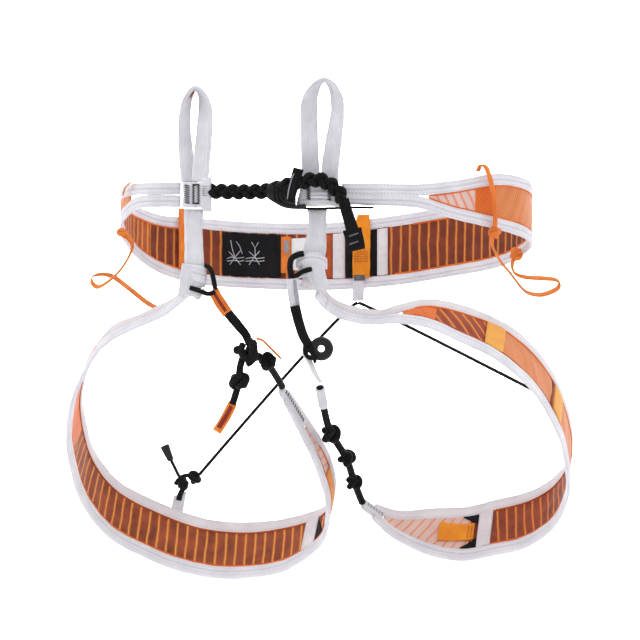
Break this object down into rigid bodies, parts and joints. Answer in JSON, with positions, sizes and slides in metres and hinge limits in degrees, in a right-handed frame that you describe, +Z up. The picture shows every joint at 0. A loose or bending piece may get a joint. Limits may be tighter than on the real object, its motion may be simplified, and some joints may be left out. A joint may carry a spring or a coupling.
{
  "type": "climbing harness",
  "caption": "Ultralight sit harness: a mesh waist belt closed by a braided lace and hook, upright tie-in loops, mesh leg loops with knotted-cord closures, gear loops and elastic risers.",
  "frame": {"origin": "middle of the waist opening, level with the top of the belt's back panel", "axes": "+Z up along the wearer's body, +Y towards the back of the waist, +X to the right of a viewer who faces the front of the harness"},
  "size_m": [0.4057, 0.1876, 0.3964],
  "materials": {
    "white_tape": "woven",
    "mesh_panel": "mesh",
    "white_webbing": "woven",
    "black_webbing": "woven",
    "black_cord": "braided",
    "orange_tape": "woven",
    "amber_webbing": "woven",
    "label_black": "printed",
    "label_white": "printed",
    "black_plastic": "satin"
  },
  "bodies": {
    "waistbelt": {"belt_upper_tape": "white_tape", "belt_lower_tape": "white_tape", "belt_panel": "mesh_panel", "left_collar": "white_webbing", "right_collar": "white_webbing", "instruction_label": "label_black", "care_label": "label_white", "back_tape_left": "white_tape", "haul_backing": "black_webbing", "back_tape_right": "white_tape", "haul_tab": "amber_webbing", "hanger_tab": "white_tape", "right_slot_tape": "orange_tape", "waist_lace": "black_cord", "hook_buckle": "black_plastic", "keeper_flap": "black_plastic", "lace_end": "black_cord", "elastic_left": "black_cord", "elastic_right": "black_cord"},
    "tie_in_left": {"tie_in_loop_left": "white_webbing"},
    "tie_in_right": {"tie_in_loop_right": "white_webbing"},
    "lace_tail": {"lace_tail": "black_webbing", "lace_tail_tab": "black_webbing"},
    "gear_left": {"gear_loop_left": "orange_tape"},
    "gear_right": {"gear_loop_right": "orange_tape"},
    "leg_left": {"left_riser": "white_webbing", "left_leg_collar": "white_webbing", "left_near_tape": "white_tape", "left_far_tape": "white_tape", "left_leg_panel": "mesh_panel", "left_outer_tape": "orange_tape", "left_cross_tape": "white_tape", "left_end_sleeve": "white_webbing", "left_elastic_tab": "white_tape", "left_elastic_knot": "black_cord", "left_collar_cord": "black_cord", "left_link_tag": "orange_tape", "left_link_strap": "black_webbing", "left_ring": "black_cord", "left_knot_cord": "black_cord"},
    "tail_left": {"left_tail_cord": "black_cord", "left_tail_tag": "orange_tape"},
    "pull_tab_left": {"left_pull_tab": "orange_tape"},
    "leg_right": {"right_riser": "white_webbing", "right_leg_collar": "white_webbing", "right_near_tape": "white_tape", "right_far_tape": "white_tape", "right_leg_panel": "mesh_panel", "right_front_tape": "orange_tape", "right_side_tape": "orange_tape", "right_cross_tape": "white_tape", "right_amber_webbing": "amber_webbing", "right_end_sleeve": "white_webbing", "right_elastic_tab": "white_tape", "right_collar_cord": "black_cord"},
    "link_right": {"right_link_tag": "white_webbing", "right_link_cord": "black_cord", "right_ring": "black_cord"},
    "pull_tab_right": {"right_pull_tab": "white_webbing"},
    "cord_right": {"right_knot_cord": "black_cord"}
  },
  "joints": [
    {"name": "left_tie_in_fold", "type": "hinge", "parent": "waistbelt", "child": "tie_in_left", "pos_m": [-0.0955, -0.079, 0.035], "axis": [1, 0, 0], "range_deg": [-60, 60], "stiffness_Nm_per_rad": 0.03},
    {"name": "right_tie_in_fold", "type": "hinge", "parent": "waistbelt", "child": "tie_in_right", "pos_m": [0, -0.079, 0.032], "axis": [1, 0, 0], "range_deg": [-60, 10], "stiffness_Nm_per_rad": 0.03},
    {"name": "lace_tail_swing", "type": "hinge", "parent": "waistbelt", "child": "lace_tail", "pos_m": [0.019, -0.089, 0.0154], "axis": [1, 0, 0], "range_deg": [-75, 4]},
    {"name": "left_gear_loop_swing", "type": "hinge", "parent": "waistbelt", "child": "gear_left", "pos_m": [-0.157, -0.019, -0.006], "axis": [0.3797, 0.8294, -0.4097], "range_deg": [-8, 40]},
    {"name": "right_gear_loop_swing", "type": "hinge", "parent": "waistbelt", "child": "gear_right", "pos_m": [0.134, -0.061, -0.006], "axis": [0.3421, 0.9258, -0.161], "range_deg": [-40, 8]},
    {"name": "left_leg_swing", "type": "hinge", "parent": "waistbelt", "child": "leg_left", "pos_m": [-0.096, -0.079, 0.012], "axis": [1, 0, 0], "range_deg": [-60, 10], "stiffness_Nm_per_rad": 0.5, "springref_deg": 2.29, "deforming": ["elastic_left"]},
    {"name": "right_leg_swing", "type": "hinge", "parent": "waistbelt", "child": "leg_right", "pos_m": [-0.002, -0.079, 0.012], "axis": [1, 0, 0], "range_deg": [-60, 10], "stiffness_Nm_per_rad": 0.5, "springref_deg": 2.29, "deforming": ["elastic_right"]},
    {"name": "left_tail_swing", "type": "hinge", "parent": "leg_left", "child": "tail_left", "pos_m": [-0.0605, -0.08, -0.1045], "axis": [1, 0, 0], "range_deg": [-70, 30]},
    {"name": "left_pull_tab_lift", "type": "hinge", "parent": "leg_left", "child": "pull_tab_left", "pos_m": [-0.048, -0.0805, -0.0864], "axis": [0, 1, 0], "range_deg": [-50, 5], "stiffness_Nm_per_rad": 0.002},
    {"name": "right_link_swing", "type": "hinge", "parent": "leg_right", "child": "link_right", "pos_m": [-0.0208, -0.0848, -0.041], "axis": [1, 0, 0], "range_deg": [-70, 3]},
    {"name": "right_pull_tab_lift", "type": "hinge", "parent": "link_right", "child": "pull_tab_right", "pos_m": [-0.0104, -0.0815, -0.098], "axis": [1, 0, 0], "range_deg": [-50, 10]},
    {"name": "right_cord_bend", "type": "hinge", "parent": "leg_right", "child": "cord_right", "pos_m": [0.034, 0.034, -0.2205], "axis": [1, 0, 0], "range_deg": [-20, 50], "stiffness_Nm_per_rad": 0.06, "springref_deg": -2.29}
  ]
}
